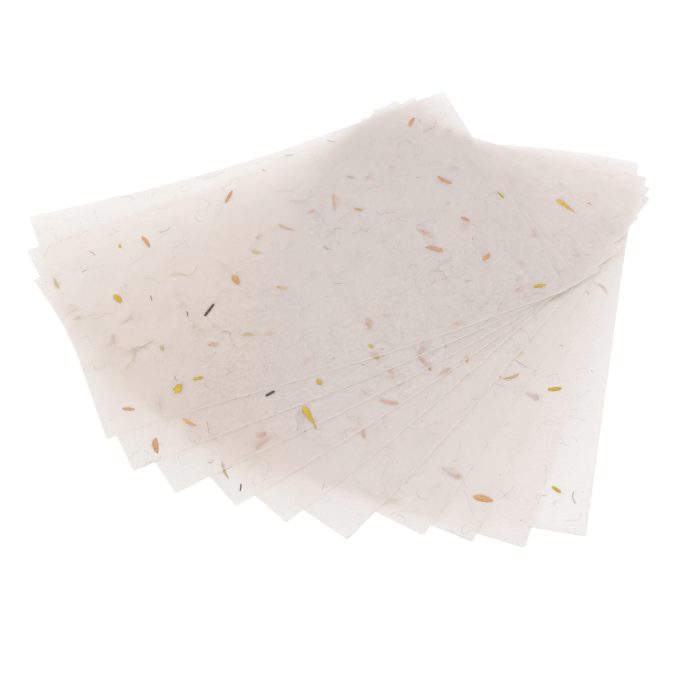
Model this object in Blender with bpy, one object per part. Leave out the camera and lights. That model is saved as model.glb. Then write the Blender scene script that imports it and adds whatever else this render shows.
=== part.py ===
"""Ten sheets of petal paper, fanned out by hand on a table.

Each sheet is one thin closed solid of A4 size. The fan turns about a point
near the corner that the sheets share. All of them follow one gently warped
surface, a fixed step above each other, so none touches its neighbour.

Units are metres and degrees. +Z is up, and the origin lies on the table
under the middle of the fan.
"""

from math import cos, radians, sin

import bmesh
import bpy
from mathutils import Vector

# One sheet
SHEET_LONG = 0.297
SHEET_SHORT = 0.210
PAPER = 0.0002  # thickness
CELLS_LONG = 17  # facets, enough for a sheet to follow the warp
CELLS_SHORT = 12

# The stack
GAP = 0.0003  # air between a sheet and the next one
STEP = PAPER + GAP

# The fan, from the top sheet down. Each sheet's near long edge leaves the
# shared corner in the direction "turn". Its corner stands "back" behind the
# pivot along that edge, and the pivot lies "inside" the edge by so much.
MILLIMETRE = 0.001
FAN = (
    {"turn": 191.7, "back": -54.6, "inside": 32.0},
    {"turn": 197.9, "back": -47.2, "inside": 24.5},
    {"turn": 203.6, "back": -34.6, "inside": 18.6},
    {"turn": 210.1, "back": -14.0, "inside": 10.4},
    {"turn": 216.9, "back": 0.5, "inside": 1.5},
    {"turn": 223.8, "back": 16.4, "inside": -0.6},
    {"turn": 230.7, "back": 39.0, "inside": -0.9},
    {"turn": 236.6, "back": 50.2, "inside": -1.1},
    {"turn": 243.0, "back": 61.0, "inside": 0.0},
    {"turn": 250.5, "back": 77.2, "inside": 1.2},
)

# The warp of the paper: how far each kind of bend moves it up or down at
# WARP_REACH from the middle of the warp. The last two terms level the stack,
# so that it stands on three places of its outline.
WARP_REACH = 0.150
WARP_MIDDLE = Vector((0.003, -0.002))
DISH = 0.0080  # both ends rise
TWIST = 0.0132  # opposite corners of the fan rise together
ARCH = -0.0072  # the near and far sides sink
FLARE = -0.0033  # the far side sinks towards both ends
END_ROLL = -0.0036  # the ends turn down again at their tips
END_TWIST = -0.0089  # the twist dies away towards the ends
CORNER_DROOP = -0.0026  # the corners hang
SIDE_ROLL = 0.0029  # the near and far sides turn up again at their tips
LEVEL_ALONG = 0.00325
LEVEL_ACROSS = -0.0034

# The paper's finish
PAPER_COLOUR = (0.83, 0.79, 0.76, 1.0)
PAPER_ROUGHNESS = 0.85


def warp(x, y):
    """How far the surface that the sheets follow rises at a place in plan."""
    u = (x - WARP_MIDDLE.x) / WARP_REACH
    v = (y - WARP_MIDDLE.y) / WARP_REACH
    bow = DISH * u**2 + ARCH * v**2 + FLARE * u * v**2
    wring = TWIST * u * v + END_TWIST * u**3 * v
    tips = END_ROLL * u**4 + CORNER_DROOP * u**2 * v**2 + SIDE_ROLL * v**4
    level = LEVEL_ALONG * u + LEVEL_ACROSS * v
    return bow + wring + tips + level


def lay_sheet(turn, back, inside):
    """A sheet in plan, as seen from the pivot: its corner at the pivot's end,
    its direction along the long edge and its direction across."""
    along = Vector((cos(radians(turn)), sin(radians(turn))))
    across = Vector((along.y, -along.x))
    corner = -(along * back + across * inside) * MILLIMETRE
    return corner, along, across


def corners(sheet):
    """The four corners of a sheet in plan."""
    corner, along, across = sheet
    return [
        corner + along * length + across * width
        for length in (0.0, SHEET_LONG)
        for width in (0.0, SHEET_SHORT)
    ]


def middle_of(sheets):
    """The middle of the box that holds all the sheets in plan."""
    points = [point for sheet in sheets for point in corners(sheet)]
    low = Vector((min(p.x for p in points), min(p.y for p in points)))
    high = Vector((max(p.x for p in points), max(p.y for p in points)))
    return (low + high) / 2


def sheet_surface(sheet, middle, lift):
    """The underside of a sheet as a bmesh grid, bent to the warp."""
    corner, along, across = sheet
    surface = bmesh.new()
    bmesh.ops.create_grid(
        surface, x_segments=CELLS_LONG, y_segments=CELLS_SHORT, size=0.5
    )
    for vertex in surface.verts:
        length = (vertex.co.x + 0.5) * SHEET_LONG
        width = (vertex.co.y + 0.5) * SHEET_SHORT
        place = corner + along * length + across * width - middle
        vertex.co = (place.x, place.y, warp(place.x, place.y) + lift)
    bmesh.ops.recalc_face_normals(surface, faces=surface.faces)
    if surface.faces[:][0].normal.z < 0:
        bmesh.ops.reverse_faces(surface, faces=surface.faces)
    return surface


def paper_material():
    """Unbleached white paper, with no gloss."""
    material = bpy.data.materials.new("petal_paper")
    material.use_nodes = True
    finish = material.node_tree.nodes["Principled BSDF"]
    finish.inputs["Base Color"].default_value = PAPER_COLOUR
    finish.inputs["Roughness"].default_value = PAPER_ROUGHNESS
    finish.inputs["Metallic"].default_value = 0.0
    return material


def add_sheet(name, surface, drop, material):
    """One sheet as a closed solid, its paper added above the surface."""
    bmesh.ops.translate(surface, verts=surface.verts, vec=(0.0, 0.0, -drop))
    mesh = bpy.data.meshes.new(name)
    surface.to_mesh(mesh)
    surface.free()
    mesh.materials.append(material)
    sheet = bpy.data.objects.new(name, mesh)
    bpy.context.scene.collection.objects.link(sheet)
    body = sheet.modifiers.new("paper", "SOLIDIFY")
    body.thickness = PAPER
    body.offset = 1.0
    return sheet


def main():
    for old in list(bpy.data.objects):
        bpy.data.objects.remove(old, do_unlink=True)

    sheets = [lay_sheet(**place) for place in FAN]
    middle = middle_of(sheets)
    bottom = len(sheets) - 1
    surfaces = [
        sheet_surface(sheet, middle, (bottom - number) * STEP)
        for number, sheet in enumerate(sheets)
    ]
    table = min(vertex.co.z for surface in surfaces for vertex in surface.verts)
    material = paper_material()
    for number, surface in enumerate(surfaces, start=1):
        add_sheet(f"sheet_{number:02d}", surface, table, material)


main()
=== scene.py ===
"""Petal paper: ten translucent handmade sheets, fanned out by hand on a white table.

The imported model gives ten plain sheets. This script reads how each one lies, makes
it again as soft, mottled paper, and adds what its maker stirred into the pulp: small
petals, stems, bark slivers, hairs and flecks. The panel in the 3D view's sidebar
holds the sizes and colours.

Units are metres, with +Z up. A place on a sheet is given as the sheet's number from
the top, then millimetres along its near long edge from the corner that the fan turns
about, and millimetres in from that edge.
"""

from math import cos, pi, radians, sin, sqrt
from random import Random

import bpy
import numpy as np
from bpy.props import (
    FloatProperty,
    FloatVectorProperty,
    IntProperty,
    PointerProperty,
)
from bpy.types import Operator, Panel, PropertyGroup
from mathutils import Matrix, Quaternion, Vector, noise


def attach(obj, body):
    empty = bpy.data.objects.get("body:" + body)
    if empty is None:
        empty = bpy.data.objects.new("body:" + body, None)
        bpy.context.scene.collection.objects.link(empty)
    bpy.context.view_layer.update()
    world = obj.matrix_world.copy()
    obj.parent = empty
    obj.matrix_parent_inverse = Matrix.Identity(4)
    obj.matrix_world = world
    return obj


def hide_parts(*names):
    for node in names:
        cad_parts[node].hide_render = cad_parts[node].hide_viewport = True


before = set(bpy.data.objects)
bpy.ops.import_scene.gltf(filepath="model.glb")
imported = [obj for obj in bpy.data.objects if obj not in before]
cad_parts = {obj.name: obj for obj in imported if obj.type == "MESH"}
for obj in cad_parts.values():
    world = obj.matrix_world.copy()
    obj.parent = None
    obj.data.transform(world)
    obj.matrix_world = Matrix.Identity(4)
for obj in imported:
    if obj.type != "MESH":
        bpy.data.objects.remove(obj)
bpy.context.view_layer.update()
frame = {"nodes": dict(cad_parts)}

bl_info = {
    "name": "Petal Paper Fan",
    "version": (1, 0, 0),
    "blender": (4, 5, 0),
    "location": "View3D > Sidebar > Petal Paper",
    "description": "Makes a fan of translucent paper sheets with petals in them",
    "category": "Add Mesh",
}

BODY = "root"
MILLIMETRE = 0.001

# ---------------------------------------------------------------- what the sheets hold
# The few large pieces that catch the eye. Each entry is: sheet, along, across, turn,
# length, width, bow. The first three say where its middle is, to a few millimetres.
# The turn is in degrees from the sheet's long edge, and the bow is how far the middle
# stands off the straight line. Lengths are in millimetres.

AMBER_PETALS = (
    (1, 262, 110, -105, 10, 3.6, 0),
    (1, 245, 20, 120, 8, 4.6, 0),
    (2, 290, 170, -90, 12, 1.8, 0),
    (9, 190, 12, -110, 9, 2.8, 0),
    (10, 270, 20, -60, 7, 2.2, 0),
)
DROP_PETALS = (
    (3, 205, 7, -85, 19, 4.2, 0),
    (5, 8, 45, -85, 18, 3.8, 0),
)
ORANGE_PETALS = (
    (1, 187, 97, -95, 11, 4.0, 0),
    (2, 100, 150, -70, 18, 2.4, 0),
    (2, 255, 18, -120, 11, 2.0, 0.8),
    (8, 265, 6, -100, 12, 4.2, 0),
)
BARK_SLIVERS = (
    (1, 210, 77, 135, 12, 1.9, 0),
    (2, 204, 16, 170, 6.5, 1.9, 0),
)

# Everything else is strewn over every sheet by a rule: how many of a kind to a sheet,
# then the least and the most length and width, and the most bow, in millimetres.
STREWN = {
    "amber": (5, 3.0, 9.0, 1.0, 2.6, 0.3),
    "orange": (2, 3.0, 9.0, 1.2, 2.6, 0.5),
    "tan": (3, 6.0, 16.0, 1.2, 2.2, 1.5),
    "blush": (7, 5.0, 15.0, 1.8, 3.4, 1.5),
    "stem": (8, 3.5, 12.0, 0.3, 0.8, 1.6),
    "bark": (2, 3.0, 6.0, 0.5, 1.0, 0.4),
    "hair": (9, 1.5, 9.0, 0.4, 0.8, 1.5),
}


# How each sheet was made, from the top sheet down: how dense its pulp is, and how far
# the two ends of its far side were cut beyond A4 size, in millimetres.
SHEETS = (
    (0.95, -2.5, 4.0),
    (1.10, 0.0, 1.0),
    (0.90, 0.0, 0.5),
    (1.00, -1.0, -3.0),
    (0.95, 0.0, -3.0),
    (1.25, 1.0, 0.0),
    (1.05, -4.0, 0.0),
    (1.05, -3.0, 0.0),
    (1.75, 0.0, 0.0),
    (0.88, 0.0, 0.0),
)

# Warm light from the left is painted into the pulp: it is yellower to the left of the first place and
# pinker to the right of the second one, in metres from the middle of the fan.
WARM_LIGHT_SIDE = -0.075
WARM_LIGHT_END = -0.015


# ------------------------------------------------------------------------- settings


def colour_setting(name, description, default):
    """A linear RGB colour for the panel."""
    return FloatVectorProperty(
        name=name, description=description, default=default,
        subtype="COLOR", size=3, min=0.0, max=1.0,
    )


def length_setting(name, description, default):
    """A length in metres for the panel."""
    return FloatProperty(
        name=name, description=description, default=default,
        subtype="DISTANCE", unit="LENGTH", min=0.0, precision=5,
    )


class PaperSettings(PropertyGroup):
    """Sizes and colours of the paper."""

    cell: length_setting("Cell", "Size of the facets that a sheet is made of", 0.003)
    corner: length_setting("Corner", "Radius that a sheet's corners are worn to", 0.0016)
    ripple: length_setting("Ripple", "Height of the cockling in each sheet", 0.00005)
    ripple_size: length_setting("Ripple size", "Width of one cockle", 0.03)
    cloud_size: length_setting("Cloud size", "Width of the thick and thin patches", 0.016)
    tuft_size: length_setting("Tuft size", "Width of the tufts of pulp", 0.0035)
    grain_size: length_setting("Grain size", "Width of the grain in the pulp", 0.0010)
    rose: colour_setting(
        "Rose pulp", "Colour of the pulp where it is pinker", (0.9800, 0.9700, 0.9652)
    )
    # Painted warm light: this colour paints the warm light on the left of the fan, and it also comes up
    # here and there where the tone drifts at random.
    straw_and_warm_light: colour_setting(
        "Straw pulp", "Colour of the pulp where it is yellower", (0.9796, 0.9680, 0.9593)
    )
    edge: colour_setting("Cut edge", "Colour of the cut edges", (0.995, 0.965, 0.91))
    edge_width: length_setting("Edge width", "Width of the frayed pale edge", 0.00024)
    edge_glow: FloatProperty(
        name="Edge glow", description="Share of the light that the cut edges pass on",
        default=0.10, min=0.0, max=1.0, subtype="FACTOR",
    )
    # Painted shade: the pulp is made denser, and so darker, in a band round each sheet's rim. These two
    # settings give that band's width and strength.
    rim_shade_width: length_setting("Worn width", "Width of the greyed rim inside it", 0.0018)
    rim_shade: FloatProperty(
        name="Worn rim", description="How much denser the pulp is at the rim",
        default=0.35, min=0.0,
    )
    kept_back: FloatProperty(
        name="Light kept back",
        description="Share of the light that a face of the paper turns back",
        default=0.15, min=0.0, max=1.0, subtype="FACTOR",
    )
    mottling: FloatProperty(
        name="Mottling", description="How far the pulp's thickness varies",
        default=2.2, min=0.0,
    )


class BitSettings(PropertyGroup):
    """Sizes and colours of the petals, stems and bark in the pulp."""

    petal_thickness: length_setting("Petal", "Thickness of a petal", 0.00005)
    stem_thickness: length_setting("Stem", "Thickness of a stem", 0.00010)
    proud: length_setting("Proud", "How far a piece stands above the paper", 0.00002)
    amber: colour_setting("Amber", "Colour of the amber petals", (0.79, 0.53, 0.09))
    orange: colour_setting("Orange", "Colour of the orange petals", (0.82, 0.46, 0.21))
    tan: colour_setting("Tan", "Colour of the withered petals", (0.75, 0.57, 0.31))
    blush: colour_setting("Blush", "Colour of the faded petals", (0.74, 0.40, 0.23))
    stem: colour_setting("Stem", "Colour of the stems", (0.54, 0.41, 0.31))
    bark: colour_setting("Bark", "Colour of the bark slivers", (0.09, 0.06, 0.045))
    hair: colour_setting("Hair", "Colour of the grey hairs", (0.46, 0.40, 0.37))


class FibreSettings(PropertyGroup):
    """Sizes of the loose fibres and flecks."""

    fibres: IntProperty(
        name="Fibres", description="Fibres per square metre of a sheet",
        default=2600, min=0,
    )
    length: length_setting("Length", "Length of a fibre", 0.014)
    thickness: length_setting("Thickness", "Thickness of a fibre", 0.00013)
    flecks: IntProperty(
        name="Flecks", description="Flecks per square metre of a sheet",
        default=1500, min=0,
    )
    fleck_size: length_setting("Fleck size", "Length of a fleck", 0.0009)
    seed: IntProperty(name="Seed", description="Which random scatter", default=7)
    pale: colour_setting("Pale fibre", "Colour of the fibres", (0.66, 0.60, 0.58))
    dark: colour_setting("Fleck", "Colour of the flecks", (0.42, 0.32, 0.25))


class StageSettings(PropertyGroup):
    """The camera, the light and the table."""

    lens: FloatProperty(
        name="Lens", description="Focal length on a 36 mm wide sensor, in millimetres",
        default=82.9, min=1.0,
    )
    target: FloatVectorProperty(
        name="Target", description="The place that the camera looks at",
        default=(-0.01155, -0.02647, 0.010), size=3, subtype="XYZ", unit="LENGTH",
        precision=5,
    )
    distance: length_setting("Distance", "From the camera to its target", 0.9641)
    azimuth: FloatProperty(
        name="Azimuth", description="Which way round the camera stands",
        default=radians(1.42), subtype="ANGLE", unit="ROTATION",
    )
    elevation: FloatProperty(
        name="Elevation", description="How steeply the camera looks down",
        default=radians(49.69), subtype="ANGLE", unit="ROTATION",
    )
    roll: FloatProperty(
        name="Roll", description="How far the camera is tipped to one side",
        default=radians(7.34), subtype="ANGLE", unit="ROTATION",
    )
    room_light: FloatProperty(
        name="Room light", description="Strength of the even light from all round",
        default=0.76, min=0.0,
    )
    window_light: FloatProperty(
        name="Window light", description="Strength of the wide light from behind",
        default=1.05, min=0.0,
    )
    window_height: FloatProperty(
        name="Window height", description="Elevation of the wide light",
        default=radians(62), subtype="ANGLE", unit="ROTATION",
    )
    window_spread: FloatProperty(
        name="Window spread", description="How wide that light is",
        default=radians(80), subtype="ANGLE", unit="ROTATION",
    )
    table: colour_setting("Table", "Colour of the table", (0.60, 0.597, 0.594))
    table_light: FloatProperty(
        name="Table light", description="How brightly the table is lit from beneath",
        default=0.31, min=0.0,
    )
    table_size: length_setting("Table size", "Width of the table", 6.0)


# ------------------------------------------------------------ how the CAD sheets lie


class Fan:
    """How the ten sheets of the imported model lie, read from their solids."""

    THICKNESS = 0.0002
    REACH = 0.150
    POWERS = [(p, q) for p in range(5) for q in range(5 - p)]

    def __init__(self, nodes):
        self.names = sorted(name for name in nodes if name.startswith("sheet_"))
        if not self.names:
            raise RuntimeError("the frame holds no sheets")
        places = [self.underside(nodes[name]) for name in self.names]
        self.bend, self.lifts = self.fit_bend(places)
        self.corners = [self.find_corner(place[:, :2]) for place in places]

    @staticmethod
    def underside(node):
        """The places of a CAD sheet's underside, each once."""
        mesh = node.data
        found = set()
        for face in mesh.polygons:
            if face.normal.z < -0.5:
                for number in face.vertices:
                    found.add(tuple(round(c, 6) for c in mesh.vertices[number].co))
        return np.array(sorted(found))

    def terms(self, x, y):
        """Every product of powers of a place, up to the fourth."""
        u = np.asarray(x) / self.REACH
        v = np.asarray(y) / self.REACH
        return np.stack([u**p * v**q for p, q in self.POWERS], axis=-1)

    def fit_bend(self, places):
        """The surface that all the sheets follow, and how far each is above it."""
        rows = []
        for number, place in enumerate(places):
            step = np.zeros((len(place), len(places) - 1))
            if number:
                step[:, number - 1] = 1.0
            rows.append(np.hstack([self.terms(place[:, 0], place[:, 1]), step]))
        heights = np.concatenate([place[:, 2] for place in places])
        answer = np.linalg.lstsq(np.vstack(rows), heights, rcond=None)[0]
        return answer[: len(self.POWERS)], [0.0, *answer[len(self.POWERS):]]

    @staticmethod
    def find_corner(plan):
        """The corner that a sheet turns about, and its two directions and sides."""
        reach = np.hypot(*(plan - plan.mean(axis=0)).T)
        four = plan[np.argsort(-reach)[:4]]
        for corner in four:
            gaps = np.hypot(*(four - corner).T)
            _, short, long, _ = np.argsort(gaps)
            along = (four[long] - corner) / gaps[long]
            across = (four[short] - corner) / gaps[short]
            clockwise = along[0] * across[1] - along[1] * across[0] < 0
            if clockwise and along[0] < 0:
                return corner, along, across, gaps[long], gaps[short]
        raise RuntimeError("a sheet's corners were not found")

    def plan(self, number, along, across):
        """A place on a sheet, in plan. The top sheet is number 0."""
        corner, way_along, way_across = self.corners[number][:3]
        x = corner[0] + along * way_along[0] + across * way_across[0]
        y = corner[1] + along * way_along[1] + across * way_across[1]
        return x, y

    def height(self, number, x, y):
        """How high the underside of a sheet is at a place in plan."""
        return self.terms(x, y) @ self.bend + self.lifts[number]

    def on_top(self, number, along, across, above=0.0):
        """A point on a sheet's upper face, or so far above it."""
        x, y = self.plan(number, along, across)
        z = float(self.height(number, x, y)) + self.THICKNESS + above
        return Vector((x, y, z + ripple(x, y, number)))

    def size(self, number):
        """A sheet's long and short side."""
        return self.corners[number][3:]


FAN = Fan(frame["nodes"])


def ripple(x, y, number):
    """The cockling of one sheet, which differs from the next one's."""
    paper = bpy.context.scene.petal_paper
    place = Vector((x, y, 0.0)) / paper.ripple_size
    place.z = number * 3.7
    return noise.noise(place) * paper.ripple


# -------------------------------------------------------------------- node helpers


class Tree:
    """A node tree under construction."""

    def __init__(self, tree):
        self.tree = tree

    def add(self, kind, settings=None, **inputs):
        """A node with its settings, and its inputs set or linked by name. An
        underscore and a number after a name pick one of several alike."""
        node = self.tree.nodes.new(kind)
        for name, value in (settings or {}).items():
            setattr(node, name, value)
        for name, value in inputs.items():
            self.feed(self.find(node, name), value)
        return node

    @staticmethod
    def find(node, name):
        """The input that a name stands for."""
        words, _, last = name.rpartition("_")
        if last.isdigit():
            return node.inputs[int(last)]
        wanted = name.replace("_", " ").lower()
        for socket in node.inputs:
            if socket.enabled and socket.name.lower() == wanted:
                return socket
        raise RuntimeError(f"{node.bl_idname} has no input {wanted}")

    def feed(self, socket, value):
        """Links an output to an input, or sets its value."""
        if isinstance(value, bpy.types.Node):
            value = next(out for out in value.outputs if out.enabled)
        if isinstance(value, bpy.types.NodeSocket):
            self.tree.links.new(value, socket)
        else:
            socket.default_value = value

    def maths(self, operation, a, b=None, c=None):
        """A Math node."""
        node = self.tree.nodes.new("ShaderNodeMath")
        node.operation = operation
        for socket, value in zip(node.inputs, (a, b, c)):
            if value is not None:
                self.feed(socket, value)
        return node.outputs[0]


def new_material(name, build, *details):
    """A material whose shader is made by build."""
    material = bpy.data.materials.new(name)
    material.use_nodes = True
    material.node_tree.nodes.clear()
    tree = Tree(material.node_tree)
    shader = build(tree, *details)
    tree.add("ShaderNodeOutputMaterial", Surface=shader)
    return material


def colour_of(setting):
    """A colour setting with its alpha."""
    return (*setting, 1.0)


def soft_noise(tree, place, size, detail, roughness=0.5, distortion=0.0):
    """A cloudy value round 0.5, whose clouds are about so wide."""
    texture = tree.add(
        "ShaderNodeTexNoise", {"noise_dimensions": "3D"}, Vector=place,
        Scale=1.0 / size, Detail=detail, Roughness=roughness, Distortion=distortion,
    )
    return texture.outputs[0]


def between(tree, share, first, second):
    """A blend of two colours."""
    mix = tree.add("ShaderNodeMix", {"data_type": "RGBA", "clamp_factor": False})
    tree.feed(mix.inputs["Factor"], share)
    tree.feed(mix.inputs[6], first)
    tree.feed(mix.inputs[7], second)
    return mix.outputs[2]


def stretched(tree, value, low, high, to_low, to_high):
    """A value moved from one range to another, and kept inside it."""
    return tree.add(
        "ShaderNodeMapRange", Value=value, From_Min=low, From_Max=high,
        To_Min=to_low, To_Max=to_high,
    ).outputs[0]


# ------------------------------------------------------------------------ the paper


def strands(tree, place, size, share):
    """Long fibres that lie in the pulp in loops, broken up here and there."""
    loops = soft_noise(tree, place, size, 2.0, 0.5, 1.2)
    away = tree.maths("ABSOLUTE", tree.maths("SUBTRACT", loops, 0.5))
    line = tree.maths("MAXIMUM", tree.maths("SUBTRACT", 1.0, tree.maths("DIVIDE", away, 0.035)), 0.0)
    breaks = soft_noise(tree, place, 1.7 * size, 1.0)
    shown = stretched(tree, breaks, 0.46, 0.58, 0.0, share)
    return tree.maths("MULTIPLY", line, shown)


def paper_shader(tree, paper):
    """Mottled pulp that passes most of the light on. The thicker it is, the more it
    turns back and the more it darkens."""
    place = tree.add("ShaderNodeUVMap", {"uv_map": "place"}).outputs[0]
    # The attribute holds each sheet's pulp density, then the painted shade round its rim, then the
    # painted warm light on its left.
    make = tree.add("ShaderNodeVertexColor", {"layer_name": "make"}).outputs[0]
    make = tree.add("ShaderNodeSeparateColor", Color=make).outputs
    clouds = soft_noise(tree, place, paper.cloud_size, 2.0)
    tufts = soft_noise(tree, place, paper.tuft_size, 3.0, 0.55, 1.4)
    grain = soft_noise(tree, place, paper.grain_size, 2.0, 0.6, 0.6)
    pulp = 0.5
    for value, share in ((clouds, 0.45), (tufts, 2.2), (grain, 2.8)):
        part = tree.maths("MULTIPLY", tree.maths("SUBTRACT", value, 0.5), share)
        pulp = tree.maths("ADD", pulp, tree.maths("MULTIPLY", part, paper.mottling))
    for size, share in ((0.0055, 0.55), (0.0090, 0.45)):
        pulp = tree.maths("ADD", pulp, strands(tree, place, size, share))
    thickness = tree.maths("ADD", tree.maths("MAXIMUM", pulp, 0.0), 0.42)
    thickness = tree.maths("MULTIPLY", thickness, make[0])
    # Painted shade: the pulp is thickened, and so darkened, in the band round the rim.
    rim = tree.maths("ADD", tree.maths("MULTIPLY", make[1], paper.rim_shade), 1.0)
    thickness = tree.maths("MULTIPLY", thickness, rim)
    drift = soft_noise(tree, place, paper.cloud_size * 3.0, 1.0)
    drift = tree.maths("MULTIPLY", tree.maths("SUBTRACT", drift, 0.5), 0.8)
    # The tint leans to the straw colour on the left of the fan, which is painted warm light, and drifts
    # between the two colours at random.
    tint = between(
        tree, tree.maths("ADD", make[2], drift),
        colour_of(paper.rose), colour_of(paper.straw_and_warm_light),
    )
    colour = between(tree, thickness, (1.0, 1.0, 1.0, 1.0), tint)
    passing = tree.maths(
        "SUBTRACT", 1.0, tree.maths("MULTIPLY", thickness, paper.kept_back)
    )
    scattered = tree.add("ShaderNodeBsdfDiffuse", Color=colour)
    passed = tree.add("ShaderNodeBsdfTranslucent", Color=colour)
    mix = tree.add("ShaderNodeMixShader")
    tree.feed(mix.inputs[0], passing)
    tree.feed(mix.inputs[1], scattered.outputs[0])
    tree.feed(mix.inputs[2], passed.outputs[0])
    return mix


def cut_edge_shader(tree, paper):
    """The cut side of the pulp: bright, with the ends of the fibres in it."""
    place = tree.add("ShaderNodeUVMap", {"uv_map": "place"}).outputs[0]
    ends = soft_noise(tree, place, paper.grain_size, 2.0)
    dull = tuple(0.93 * part for part in paper.edge)
    colour = between(
        tree, stretched(tree, ends, 0.4, 0.6, 0.0, 1.0), (*dull, 1.0), colour_of(paper.edge)
    )
    scattered = tree.add("ShaderNodeBsdfDiffuse", Color=colour)
    passed = tree.add("ShaderNodeBsdfTranslucent", Color=colour)
    mix = tree.add("ShaderNodeMixShader")
    mix.inputs[0].default_value = paper.edge_glow
    tree.feed(mix.inputs[1], scattered.outputs[0])
    tree.feed(mix.inputs[2], passed.outputs[0])
    return mix


def spread_cells(length, edge, corner, cell):
    """Places along a side: a narrow edge, then close together for the rounded
    corners, and about a cell apart between them."""
    ends = [0.0, edge] + [corner * part / 4.0 for part in range(1, 4)]
    count = max(2, round((length - 2.0 * corner) / cell))
    middle = list(np.linspace(corner, length - corner, count + 1))
    return np.array(ends + middle + [length - end for end in reversed(ends)])


def round_corners(along, across, long, short, corner):
    """Pulls the places nearer to a corner than its radius on to a round corner."""
    a = np.minimum(along, long - along)
    b = np.minimum(across, short - across)
    near = (a < corner) & (b < corner)
    p = 1.0 - a / corner
    q = 1.0 - b / corner
    round_a = corner * (1.0 - p * np.sqrt(np.maximum(0.0, 1.0 - q * q / 2.0)))
    round_b = corner * (1.0 - q * np.sqrt(np.maximum(0.0, 1.0 - p * p / 2.0)))
    a = np.where(near, round_a, a)
    b = np.where(near, round_b, b)
    new_along = np.where(along < long / 2.0, a, long - a)
    new_across = np.where(across < short / 2.0, b, short - b)
    return new_along, new_across


def paper_surface(number, name, paper):
    """One sheet's underside as a mesh, facing up, with its places as a UV map."""
    long, short = FAN.size(number)
    rows = spread_cells(long, paper.edge_width, paper.corner, paper.cell)
    columns = spread_cells(short, paper.edge_width, paper.corner, paper.cell)
    along, across = np.meshgrid(rows, columns, indexing="ij")
    inward = np.minimum(
        np.minimum(along, long - along), np.minimum(across, short - across)
    )
    along, across = round_corners(along, across, long, short, paper.corner)
    density, near_cut, far_cut = SHEETS[number]
    cut = near_cut + (far_cut - near_cut) * across / short
    along = along + cut * MILLIMETRE * (along / long) ** 4
    x, y = FAN.plan(number, along, across)
    z = FAN.height(number, x, y)
    points = np.stack([x, y, z], axis=-1).reshape(-1, 3)
    for point in points:
        point[2] += ripple(point[0], point[1], number)
    wide = len(columns)
    faces = [
        (i * wide + j, i * wide + j + 1, (i + 1) * wide + j + 1, (i + 1) * wide + j)
        for i in range(len(rows) - 1)
        for j in range(wide - 1)
    ]
    mesh = bpy.data.meshes.new(name)
    mesh.from_pydata(points.tolist(), [], faces)
    if mesh.polygons[0].normal.z < 0.0:
        mesh.flip_normals()
    flat = np.stack([along + number * 2.0 * long, across], axis=-1).reshape(-1, 2)
    corners = np.empty(len(mesh.loops), dtype=np.int32)
    mesh.loops.foreach_get("vertex_index", corners)
    layer = mesh.uv_layers.new(name="place")
    layer.uv.foreach_set("vector", flat[corners].astype(np.float32).ravel())
    # Painted shade: the band round the rim where the pulp is darkened, fading inwards.
    rim = np.clip(1.0 - inward / paper.rim_shade_width, 0.0, 1.0).ravel()
    # Painted warm light: a smooth ramp that tints the pulp yellower towards the left of the fan.
    side = np.clip((x.ravel() - WARM_LIGHT_END) / (WARM_LIGHT_SIDE - WARM_LIGHT_END), 0.0, 1.0)
    straw_and_warm_light = side * side * (3.0 - 2.0 * side)
    full = np.ones_like(rim)
    # Pulp density, painted rim shade, painted warm light, and a spare channel.
    make = np.stack([density * full, rim, straw_and_warm_light, full], axis=-1)
    layer = mesh.color_attributes.new("make", "FLOAT_COLOR", "POINT")
    layer.data.foreach_set("color", make.astype(np.float32).ravel())
    last_row = len(rows) - 2
    for face in mesh.polygons:
        row, column = divmod(face.index, wide - 1)
        if row == last_row or column == 0:
            face.material_index = 1
    mesh.shade_smooth()
    return mesh


def settle(piece):
    """Turns a piece's modifiers into plain mesh."""
    view = bpy.context.evaluated_depsgraph_get()
    solid = bpy.data.meshes.new_from_object(
        piece.evaluated_get(view), preserve_all_data_layers=True, depsgraph=view
    )
    solid.name = piece.name
    piece.modifiers.clear()
    piece.data = solid


def link(name, mesh, materials):
    """A new object that shows a mesh."""
    for material in materials:
        mesh.materials.append(material)
    piece = bpy.data.objects.new(name, mesh)
    bpy.context.scene.collection.objects.link(piece)
    return piece


def finish_piece(piece):
    """Fastens a piece to the stack."""
    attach(piece, BODY)


class PETALPAPER_OT_sheets(Operator):
    """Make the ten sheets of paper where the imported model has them"""

    bl_idname = "petal_paper.sheets"
    bl_label = "Sheets of Paper"

    def execute(self, context):
        paper = context.scene.petal_paper
        pulp = new_material("pulp", paper_shader, paper)
        edge = new_material("cut_edge", cut_edge_shader, paper)
        for number, name in enumerate(FAN.names):
            mesh = paper_surface(number, f"paper_{number + 1:02d}", paper)
            sheet = link(mesh.name, mesh, (pulp, edge))
            body = sheet.modifiers.new("thickness", "SOLIDIFY")
            body.thickness = FAN.THICKNESS
            body.offset = 1.0
            body.material_offset_rim = 1
            settle(sheet)
            finish_piece(sheet)
            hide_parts(name)
        return {"FINISHED"}


# ------------------------------------------------- petals, stems, slivers and hairs


def petal_outline(t):
    """Half width of a long petal: blunt at both ends."""
    return sin(pi * t**0.85) ** 0.6


def oval_outline(t):
    """Half width of an oval petal."""
    return sqrt(max(0.0, 1.0 - (2.0 * t - 1.0) ** 2))


def drop_outline(t):
    """Half width of a drop: broad near its start, drawn out to a stalk."""
    head = sqrt(max(0.0, 1.0 - (t / 0.28 - 1.0) ** 2)) if t < 0.28 else 1.0
    tail = 0.10 + 0.90 * (1.0 - (t - 0.28) / 0.72) ** 1.5 if t > 0.28 else 1.0
    return head * tail


def stem_outline(t):
    """Half width of a stem: even, thinner at its end."""
    return min(1.0, 6.0 * t + 0.3) * min(1.0, 3.0 * (1.0 - t) + 0.3)


def sliver_outline(t):
    """Half width of a sliver of bark: broken off short at both ends."""
    return min(1.0, 9.0 * t + 0.4) * min(1.0, 5.0 * (1.0 - t) + 0.35)


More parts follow.
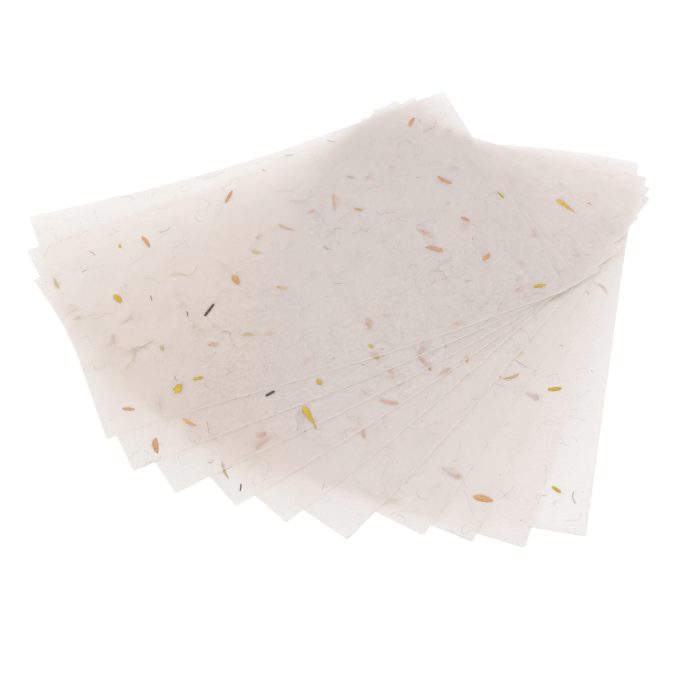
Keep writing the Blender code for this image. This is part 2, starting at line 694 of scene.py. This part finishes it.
def bit_points(entry, outline, thickness, above, rows):
    """The rings of one piece in the pulp: a flat lens in section, along a bow."""
    sheet, along, across, turn, length, width, bow = entry
    number = sheet - 1
    way = radians(turn)
    rings = []
    for row in range(rows):
        t = row / (rows - 1)
        run = (t - 0.5) * length
        side = bow * (1.0 - (2.0 * t - 1.0) ** 2)
        waver = 0.06 * width * noise.noise(Vector((along + 4.0 * t, across, 0.5)))
        half = width / 2.0 * outline(t)
        slope = -4.0 * bow * (2.0 * t - 1.0) / length
        ring = []
        for step in range(8):
            round_part = 2.0 * pi * step / 8.0
            off = half * cos(round_part)
            a = run - off * slope / sqrt(1.0 + slope**2)
            b = side + waver + off / sqrt(1.0 + slope**2)
            s = along + a * cos(way) - b * sin(way)
            w = across + a * sin(way) + b * cos(way)
            rise = above + thickness / 2.0 * (1.0 + sin(round_part) * outline(t) ** 0.5)
            ring.append(FAN.on_top(number, s * MILLIMETRE, w * MILLIMETRE, rise))
        rings.append(ring)
    return rings


def tube_faces(first, rows, around):
    """The faces of a closed tube whose rings start at a vertex number."""
    faces = []
    for row in range(rows - 1):
        for step in range(around):
            here = first + row * around + step
            beside = first + row * around + (step + 1) % around
            faces.append((here, here + around, beside + around, beside))
    faces.append(tuple(first + step for step in range(around)))
    last = first + (rows - 1) * around
    faces.append(tuple(last + step for step in reversed(range(around))))
    return faces


def scatter_bits(name, groups, thickness, above, material, rows=11):
    """One piece that holds every bit of one kind."""
    points = []
    faces = []
    tones = []
    for entries, outline in groups:
        for entry in entries:
            rings = bit_points(entry, outline, thickness, above, rows)
            faces += tube_faces(len(points), rows, len(rings[0]))
            tone = noise.random()
            for row, ring in enumerate(rings):
                points += ring
                tones += [(tone, row / (rows - 1), 0.0, 1.0)] * len(ring)
    mesh = bpy.data.meshes.new(name)
    mesh.from_pydata(points, [], faces)
    layer = mesh.color_attributes.new("growth", "FLOAT_COLOR", "POINT")
    layer.data.foreach_set("color", np.array(tones, dtype=np.float32).ravel())
    mesh.shade_smooth()
    piece = link(name, mesh, (material,))
    make_outward(piece.data)
    finish_piece(piece)
    return piece


def make_outward(mesh):
    """Turns every closed shell of a mesh to face outwards."""
    import bmesh

    shell = bmesh.new()
    shell.from_mesh(mesh)
    bmesh.ops.recalc_face_normals(shell, faces=shell.faces)
    shell.to_mesh(mesh)
    shell.free()


def strew(kind, seed):
    """Entries like the ones above, strewn over all the sheets by the kind's rule."""
    count, least_long, most_long, least_wide, most_wide, bow = STREWN[kind]
    dice = Random(seed)
    entries = []
    for number in range(len(FAN.names)):
        long, short = (side / MILLIMETRE for side in FAN.size(number))
        for _ in range(count):
            length = dice.uniform(least_long, most_long)
            margin = 0.5 * length + 1.0
            entries.append((
                number + 1, dice.uniform(margin, long - margin),
                dice.uniform(margin, short - margin), dice.uniform(-180.0, 180.0),
                length, dice.uniform(least_wide, most_wide), dice.uniform(-bow, bow),
            ))
    return tuple(entries)


def petal_shader(tree, colour, vein):
    """A dried petal: streaked along its length, darker towards its foot."""
    place = tree.add("ShaderNodeTexCoord").outputs["Object"]
    growth = tree.add("ShaderNodeVertexColor", {"layer_name": "growth"}).outputs[0]
    parts = tree.add("ShaderNodeSeparateColor", Color=growth)
    streaks = soft_noise(tree, place, 0.0009, 2.0, 0.6, 0.5)
    darker = tuple(vein * part for part in colour)
    shade = tree.maths("ADD", streaks, tree.maths("MULTIPLY", parts.outputs[1], 0.18))
    shade = tree.maths("ADD", shade, tree.maths("MULTIPLY", parts.outputs[0], 0.14))
    mixed = between(
        tree, stretched(tree, shade, 0.42, 0.86, 0.0, 1.0), (*colour, 1.0), (*darker, 1.0)
    )
    return tree.add("ShaderNodeBsdfDiffuse", Color=mixed)


def stalk_shader(tree, colour):
    """Dry, dull plant matter with lighter flakes."""
    place = tree.add("ShaderNodeTexCoord").outputs["Object"]
    flakes = soft_noise(tree, place, 0.0006, 2.0, 0.6)
    lighter = tuple(min(1.0, 1.7 * part + 0.01) for part in colour)
    mixed = between(
        tree, stretched(tree, flakes, 0.45, 0.7, 0.0, 1.0), (*colour, 1.0), (*lighter, 1.0)
    )
    return tree.add(
        "ShaderNodeBsdfPrincipled", Base_Color=mixed, Roughness=0.8,
    )


class PETALPAPER_OT_petals(Operator):
    """Put the petals where they show in the sheets"""

    bl_idname = "petal_paper.petals"
    bl_label = "Petals"

    def execute(self, context):
        bits = context.scene.petal_bits
        kinds = (
            ("amber_petals", bits.amber, 0.62,
             ((AMBER_PETALS + strew("amber", 1), oval_outline), (DROP_PETALS, drop_outline))),
            ("orange_petals", bits.orange, 0.66, ((ORANGE_PETALS + strew("orange", 2), petal_outline),)),
            ("tan_petals", bits.tan, 0.6, ((strew("tan", 3), petal_outline),)),
            ("blush_petals", bits.blush, 0.75, ((strew("blush", 4), petal_outline),)),
        )
        noise.seed_set(11)
        for name, colour, vein, groups in kinds:
            material = new_material(name, petal_shader, tuple(colour), vein)
            scatter_bits(name, groups, bits.petal_thickness, bits.proud, material)
        return {"FINISHED"}


class PETALPAPER_OT_stems(Operator):
    """Put in the stems, the bark slivers and the grey hairs"""

    bl_idname = "petal_paper.stems"
    bl_label = "Stems, Bark and Hairs"

    def execute(self, context):
        bits = context.scene.petal_bits
        kinds = (
            ("stems", bits.stem, bits.stem_thickness, strew("stem", 5), stem_outline),
            ("bark_slivers", bits.bark, bits.stem_thickness,
             BARK_SLIVERS + strew("bark", 6), sliver_outline),
            ("grey_hairs", bits.hair, bits.petal_thickness, strew("hair", 7), stem_outline),
        )
        noise.seed_set(12)
        lift = bits.proud + bits.petal_thickness
        for name, colour, thickness, entries, outline in kinds:
            material = new_material(name, stalk_shader, tuple(colour))
            scatter_bits(name, ((entries, outline),), thickness, lift, material)
        return {"FINISHED"}


# ---------------------------------------------------------------- fibres and flecks


def group_inputs(tree, names):
    """A geometry group with a mesh in and out, and a number for each name."""
    face = tree.interface
    face.new_socket("Geometry", in_out="INPUT", socket_type="NodeSocketGeometry")
    face.new_socket("Geometry", in_out="OUTPUT", socket_type="NodeSocketGeometry")
    for name, kind in names:
        face.new_socket(name, in_out="INPUT", socket_type=kind)


def fibre_tree(material):
    """Hair-fine fibres that wander over a sheet."""
    group = bpy.data.node_groups.new("loose_fibres", "GeometryNodeTree")
    group_inputs(group, (
        ("Fibres", "NodeSocketFloat"), ("Length", "NodeSocketFloat"),
        ("Thickness", "NodeSocketFloat"), ("Lift", "NodeSocketFloat"),
        ("Seed", "NodeSocketInt"),
    ))
    tree = Tree(group)
    start = tree.add("NodeGroupInput").outputs
    knots = 22
    spots = tree.add(
        "GeometryNodeDistributePointsOnFaces", Mesh=start["Geometry"],
        Density=start["Fibres"], Seed=start["Seed"],
    )
    which = tree.add("GeometryNodeInputIndex").outputs[0]
    kept = tree.add("GeometryNodeCaptureAttribute", {"domain": "POINT"})
    kept.capture_items.new("INT", "fibre")
    tree.feed(kept.inputs["Geometry"], spots.outputs["Points"])
    tree.feed(kept.inputs["fibre"], which)
    fibre = kept.outputs["fibre"]
    copies = tree.add(
        "GeometryNodeDuplicateElements", {"domain": "POINT"},
        Geometry=kept.outputs["Geometry"], Amount=knots,
    )
    knot = copies.outputs["Duplicate Index"]

    def luck(low, high, salt):
        """A number that is the same all along one fibre."""
        value = tree.add("FunctionNodeRandomValue", {"data_type": "FLOAT"})
        tree.feed(value.inputs[2], low)
        tree.feed(value.inputs[3], high)
        tree.feed(value.inputs["ID"], fibre)
        tree.feed(value.inputs["Seed"], salt)
        return value.outputs[1]

    place = tree.add("ShaderNodeCombineXYZ")
    tree.feed(place.inputs[0], tree.maths("MULTIPLY", knot, 0.16))
    tree.feed(place.inputs[1], tree.maths("MULTIPLY", fibre, 7.31))
    wander = tree.add("ShaderNodeTexNoise", Vector=place.outputs[0], Scale=1.0, Detail=1.0)
    turn = tree.maths("MULTIPLY", tree.maths("SUBTRACT", wander.outputs[0], 0.5), 1.5)
    turn = tree.maths("ADD", turn, luck(-0.16, 0.16, 3))
    summed = tree.add("GeometryNodeAccumulateField", {"data_type": "FLOAT"})
    tree.feed(summed.inputs[0], turn)
    tree.feed(summed.inputs["Group Index"], fibre)
    angle = tree.maths("ADD", summed.outputs[0], luck(0.0, 2.0 * pi, 5))
    stride = tree.maths("MULTIPLY", start["Length"], luck(0.35, 1.5, 9))
    stride = tree.maths("DIVIDE", stride, float(knots))
    steps = []
    for wave in ("COSINE", "SINE"):
        step = tree.maths("MULTIPLY", tree.maths(wave, angle), stride)
        total = tree.add("GeometryNodeAccumulateField", {"data_type": "FLOAT"})
        tree.feed(total.inputs[0], step)
        tree.feed(total.inputs["Group Index"], fibre)
        steps.append(total.outputs[0])
    offset = tree.add("ShaderNodeCombineXYZ")
    tree.feed(offset.inputs[0], steps[0])
    tree.feed(offset.inputs[1], steps[1])
    tree.feed(offset.inputs[2], 0.05)
    raised = tree.add(
        "GeometryNodeSetPosition", Geometry=copies.outputs["Geometry"],
        Offset=offset.outputs[0],
    )
    down = tree.add("GeometryNodeRaycast")
    tree.feed(down.inputs["Target Geometry"], start["Geometry"])
    tree.feed(down.inputs["Ray Direction"], (0.0, 0.0, -1.0))
    tree.feed(down.inputs["Ray Length"], 0.2)
    lift = tree.add("ShaderNodeCombineXYZ")
    tree.feed(lift.inputs[2], start["Lift"])
    landing = tree.add("ShaderNodeVectorMath", {"operation": "ADD"})
    tree.feed(landing.inputs[0], down.outputs["Hit Position"])
    tree.feed(landing.inputs[1], lift.outputs[0])
    missed = tree.add("FunctionNodeBooleanMath", {"operation": "NOT"})
    tree.feed(missed.inputs[0], down.outputs["Is Hit"])
    inside = tree.add("GeometryNodeDeleteGeometry", {"domain": "POINT"})
    tree.feed(inside.inputs["Geometry"], raised.outputs[0])
    tree.feed(inside.inputs["Selection"], missed.outputs[0])
    laid = tree.add(
        "GeometryNodeSetPosition", Geometry=inside.outputs[0], Position=landing.outputs[0]
    )
    lines = tree.add("GeometryNodePointsToCurves", Points=laid.outputs[0])
    tree.feed(lines.inputs["Curve Group ID"], fibre)
    tree.feed(lines.inputs["Weight"], knot)
    ring = tree.add("GeometryNodeCurvePrimitiveCircle", Resolution=3)
    tree.feed(ring.inputs["Radius"], tree.maths("MULTIPLY", start["Thickness"], 0.5))
    tube = tree.add(
        "GeometryNodeCurveToMesh", Curve=lines.outputs[0],
        Profile_Curve=ring.outputs[0], Fill_Caps=True,
    )
    real = tree.add("GeometryNodeRealizeInstances", Geometry=tube.outputs[0])
    done = tree.add("GeometryNodeSetMaterial", Geometry=real.outputs[0], Material=material)
    tree.add("NodeGroupOutput", Geometry=done.outputs[0])
    return group


def fleck_tree(material):
    """Small flat flecks of bark, scattered over a sheet."""
    group = bpy.data.node_groups.new("bark_flecks", "GeometryNodeTree")
    group_inputs(group, (
        ("Flecks", "NodeSocketFloat"), ("Size", "NodeSocketFloat"),
        ("Lift", "NodeSocketFloat"), ("Seed", "NodeSocketInt"),
    ))
    tree = Tree(group)
    start = tree.add("NodeGroupInput").outputs
    spots = tree.add(
        "GeometryNodeDistributePointsOnFaces", Mesh=start["Geometry"],
        Density=start["Flecks"], Seed=start["Seed"],
    )
    lift = tree.add("ShaderNodeCombineXYZ")
    tree.feed(lift.inputs[2], start["Lift"])
    raised = tree.add(
        "GeometryNodeSetPosition", Geometry=spots.outputs["Points"], Offset=lift.outputs[0]
    )
    fleck = tree.add("GeometryNodeMeshIcoSphere", Radius=0.5, Subdivisions=1)

    def luck(low, high, salt):
        """A random number for each fleck."""
        value = tree.add("FunctionNodeRandomValue", {"data_type": "FLOAT"})
        tree.feed(value.inputs[2], low)
        tree.feed(value.inputs[3], high)
        tree.feed(value.inputs["Seed"], salt)
        return value.outputs[1]

    turn = tree.add("ShaderNodeCombineXYZ")
    tree.feed(turn.inputs[2], luck(0.0, 2.0 * pi, 1))
    shape = tree.add("ShaderNodeCombineXYZ")
    size = tree.maths("MULTIPLY", start["Size"], tree.maths("POWER", luck(0.35, 1.5, 2), 2.0))
    tree.feed(shape.inputs[0], size)
    tree.feed(shape.inputs[1], tree.maths("MULTIPLY", start["Size"], luck(0.15, 0.4, 3)))
    tree.feed(shape.inputs[2], 0.00003)
    placed = tree.add(
        "GeometryNodeInstanceOnPoints", Points=raised.outputs[0],
        Instance=fleck.outputs[0], Rotation=turn.outputs[0], Scale=shape.outputs[0],
    )
    real = tree.add("GeometryNodeRealizeInstances", Geometry=placed.outputs[0])
    done = tree.add("GeometryNodeSetMaterial", Geometry=real.outputs[0], Material=material)
    tree.add("NodeGroupOutput", Geometry=done.outputs[0])
    return group


def scatter_on_sheets(name, group, values, material):
    """Runs a scatter on each sheet's upper face and joins what it makes."""
    points = []
    faces = []
    for number in range(len(FAN.names)):
        mesh = paper_surface(number, "bed", bpy.context.scene.petal_paper)
        bed = link("bed", mesh, ())
        scatter = bed.modifiers.new("scatter", "NODES")
        scatter.node_group = group
        for item in group.interface.items_tree:
            if item.in_out == "INPUT" and item.name in values:
                scatter[item.identifier] = values[item.name]
            if item.in_out == "INPUT" and item.name == "Seed":
                scatter[item.identifier] = values["Seed"] + 31 * number
        settle(bed)
        first = len(points)
        points += [tuple(vertex.co) for vertex in bed.data.vertices]
        faces += [tuple(first + v for v in face.vertices) for face in bed.data.polygons]
        bpy.data.objects.remove(bed, do_unlink=True)
    if not faces:
        raise RuntimeError(f"{name}: the scatter made nothing")
    joined = bpy.data.meshes.new(name)
    joined.from_pydata(points, [], faces)
    joined.shade_smooth()
    piece = link(name, joined, (material,))
    make_outward(joined)
    finish_piece(piece)
    return piece


def fibre_shader(tree, colour):
    """A pale plant fibre, darker here and there."""
    place = tree.add("ShaderNodeTexCoord").outputs["Object"]
    patches = soft_noise(tree, place, 0.006, 1.0)
    darker = tuple(0.6 * part for part in colour)
    mixed = between(
        tree, stretched(tree, patches, 0.4, 0.6, 0.0, 1.0), (*colour, 1.0), (*darker, 1.0)
    )
    return tree.add("ShaderNodeBsdfDiffuse", Color=mixed)


class PETALPAPER_OT_fibres(Operator):
    """Strew loose fibres over every sheet"""

    bl_idname = "petal_paper.fibres"
    bl_label = "Loose Fibres"

    def execute(self, context):
        settings = context.scene.petal_fibres
        material = new_material("fibre", fibre_shader, tuple(settings.pale))
        values = {
            "Fibres": float(settings.fibres), "Length": settings.length,
            "Thickness": settings.thickness, "Lift": FAN.THICKNESS + 0.00001,
            "Seed": settings.seed,
        }
        scatter_on_sheets("loose_fibres", fibre_tree(material), values, material)
        return {"FINISHED"}


class PETALPAPER_OT_flecks(Operator):
    """Strew flecks of bark over every sheet"""

    bl_idname = "petal_paper.flecks"
    bl_label = "Bark Flecks"

    def execute(self, context):
        settings = context.scene.petal_fibres
        material = new_material("fleck", fibre_shader, tuple(settings.dark))
        values = {
            "Flecks": float(settings.flecks), "Size": settings.fleck_size,
            "Lift": FAN.THICKNESS + 0.00001, "Seed": settings.seed + 5,
        }
        scatter_on_sheets("bark_flecks", fleck_tree(material), values, material)
        return {"FINISHED"}


# ------------------------------------------------------------------------ the stage


def table_shader(tree, stage):
    """A white table, lit up behind the paper as on a photographer's sweep."""
    seen = tree.add("ShaderNodeLightPath").outputs["Is Camera Ray"]
    top = tree.add("ShaderNodeBsdfDiffuse", Color=colour_of(stage.table))
    lit = tree.add("ShaderNodeEmission", Color=(1.0, 1.0, 1.0, 1.0), Strength=stage.table_light)
    both = tree.add("ShaderNodeAddShader")
    tree.feed(both.inputs[0], top.outputs[0])
    tree.feed(both.inputs[1], lit.outputs[0])
    glow = tree.add("ShaderNodeEmission", Color=(1.0, 1.0, 1.0, 1.0), Strength=1.05)
    mix = tree.add("ShaderNodeMixShader")
    tree.feed(mix.inputs[0], seen)
    tree.feed(mix.inputs[1], both.outputs[0])
    tree.feed(mix.inputs[2], glow.outputs[0])
    return mix


def add_table(stage):
    """The table top, at the height that the stack stands on."""
    half = stage.table_size / 2.0
    mesh = bpy.data.meshes.new("table")
    corners = [(-half, -half, 0.0), (half, -half, 0.0), (half, half, 0.0), (-half, half, 0.0)]
    mesh.from_pydata(corners, [], [(0, 1, 2, 3)])
    table = link("table", mesh, (new_material("table", table_shader, stage),))


def add_lights(scene, stage):
    """Even light from all round, and a wide window behind."""
    world = bpy.data.worlds.new("room")
    world.use_nodes = True
    world.node_tree.nodes["Background"].inputs["Color"].default_value = (1.0, 1.0, 1.0, 1.0)
    world.node_tree.nodes["Background"].inputs["Strength"].default_value = stage.room_light
    world.cycles.sampling_method = "NONE"
    scene.world = world
    lamp = bpy.data.lights.new("window", "SUN")
    lamp.energy = stage.window_light
    lamp.angle = stage.window_spread
    window = bpy.data.objects.new("window", lamp)
    scene.collection.objects.link(window)
    aim = Vector((0.0, -cos(stage.window_height), -sin(stage.window_height)))
    window.rotation_euler = aim.to_track_quat("-Z", "Y").to_euler()


def add_camera(scene, stage):
    """The camera, looking down at the fan and tipped a little to one side."""
    lens = bpy.data.cameras.new("camera")
    lens.sensor_width = 36.0
    lens.lens = stage.lens
    camera = bpy.data.objects.new("camera", lens)
    scene.collection.objects.link(camera)
    level = cos(stage.elevation)
    gaze = Vector((sin(stage.azimuth) * level, cos(stage.azimuth) * level, -sin(stage.elevation)))
    camera.location = Vector(stage.target) - gaze * stage.distance
    camera.rotation_mode = "QUATERNION"
    tip = Quaternion((0.0, 0.0, 1.0), -stage.roll)
    camera.rotation_quaternion = gaze.to_track_quat("-Z", "Y") @ tip
    scene.camera = camera


class PETALPAPER_OT_stage(Operator):
    """Set up the table, the light and the camera"""

    bl_idname = "petal_paper.stage"
    bl_label = "Table, Light and Camera"

    def execute(self, context):
        scene = context.scene
        stage = scene.petal_stage
        add_table(stage)
        add_lights(scene, stage)
        add_camera(scene, stage)
        scene.view_settings.view_transform = "Standard"
        light = scene.cycles
        light.max_bounces = 64
        light.diffuse_bounces = 64
        light.transmission_bounces = 64
        light.transparent_max_bounces = 64
        light.use_denoising = True
        return {"FINISHED"}


class PETALPAPER_PT_panel(Panel):
    """The panel that lists the settings and the steps"""

    bl_idname = "PETALPAPER_PT_panel"
    bl_label = "Petal Paper"
    bl_space_type = "VIEW_3D"
    bl_region_type = "UI"
    bl_category = "Petal Paper"

    def draw(self, context):
        layout = self.layout
        for attribute, _ in SETTINGS:
            box = layout.box()
            settings = getattr(context.scene, attribute)
            for name in settings.bl_rna.properties.keys():
                if name not in {"rna_type", "name"}:
                    box.prop(settings, name)
        for step in STEPS:
            layout.operator(step.bl_idname)


SETTINGS = (
    ("petal_paper", PaperSettings),
    ("petal_bits", BitSettings),
    ("petal_fibres", FibreSettings),
    ("petal_stage", StageSettings),
)
STEPS = (
    PETALPAPER_OT_sheets,
    PETALPAPER_OT_petals,
    PETALPAPER_OT_stems,
    PETALPAPER_OT_fibres,
    PETALPAPER_OT_flecks,
    PETALPAPER_OT_stage,
)


def register():
    for attribute, group in SETTINGS:
        bpy.utils.register_class(group)
        setattr(bpy.types.Scene, attribute, PointerProperty(type=group))
    for step in STEPS:
        bpy.utils.register_class(step)
    bpy.utils.register_class(PETALPAPER_PT_panel)


def unregister():
    bpy.utils.unregister_class(PETALPAPER_PT_panel)
    for step in reversed(STEPS):
        bpy.utils.unregister_class(step)
    for attribute, group in reversed(SETTINGS):
        delattr(bpy.types.Scene, attribute)
        bpy.utils.unregister_class(group)


def main():
    register()
    bpy.ops.petal_paper.sheets()
    bpy.ops.petal_paper.petals()
    bpy.ops.petal_paper.stems()
    bpy.ops.petal_paper.fibres()
    bpy.ops.petal_paper.flecks()
    bpy.ops.petal_paper.stage()


if __name__ == "__main__":
    main()
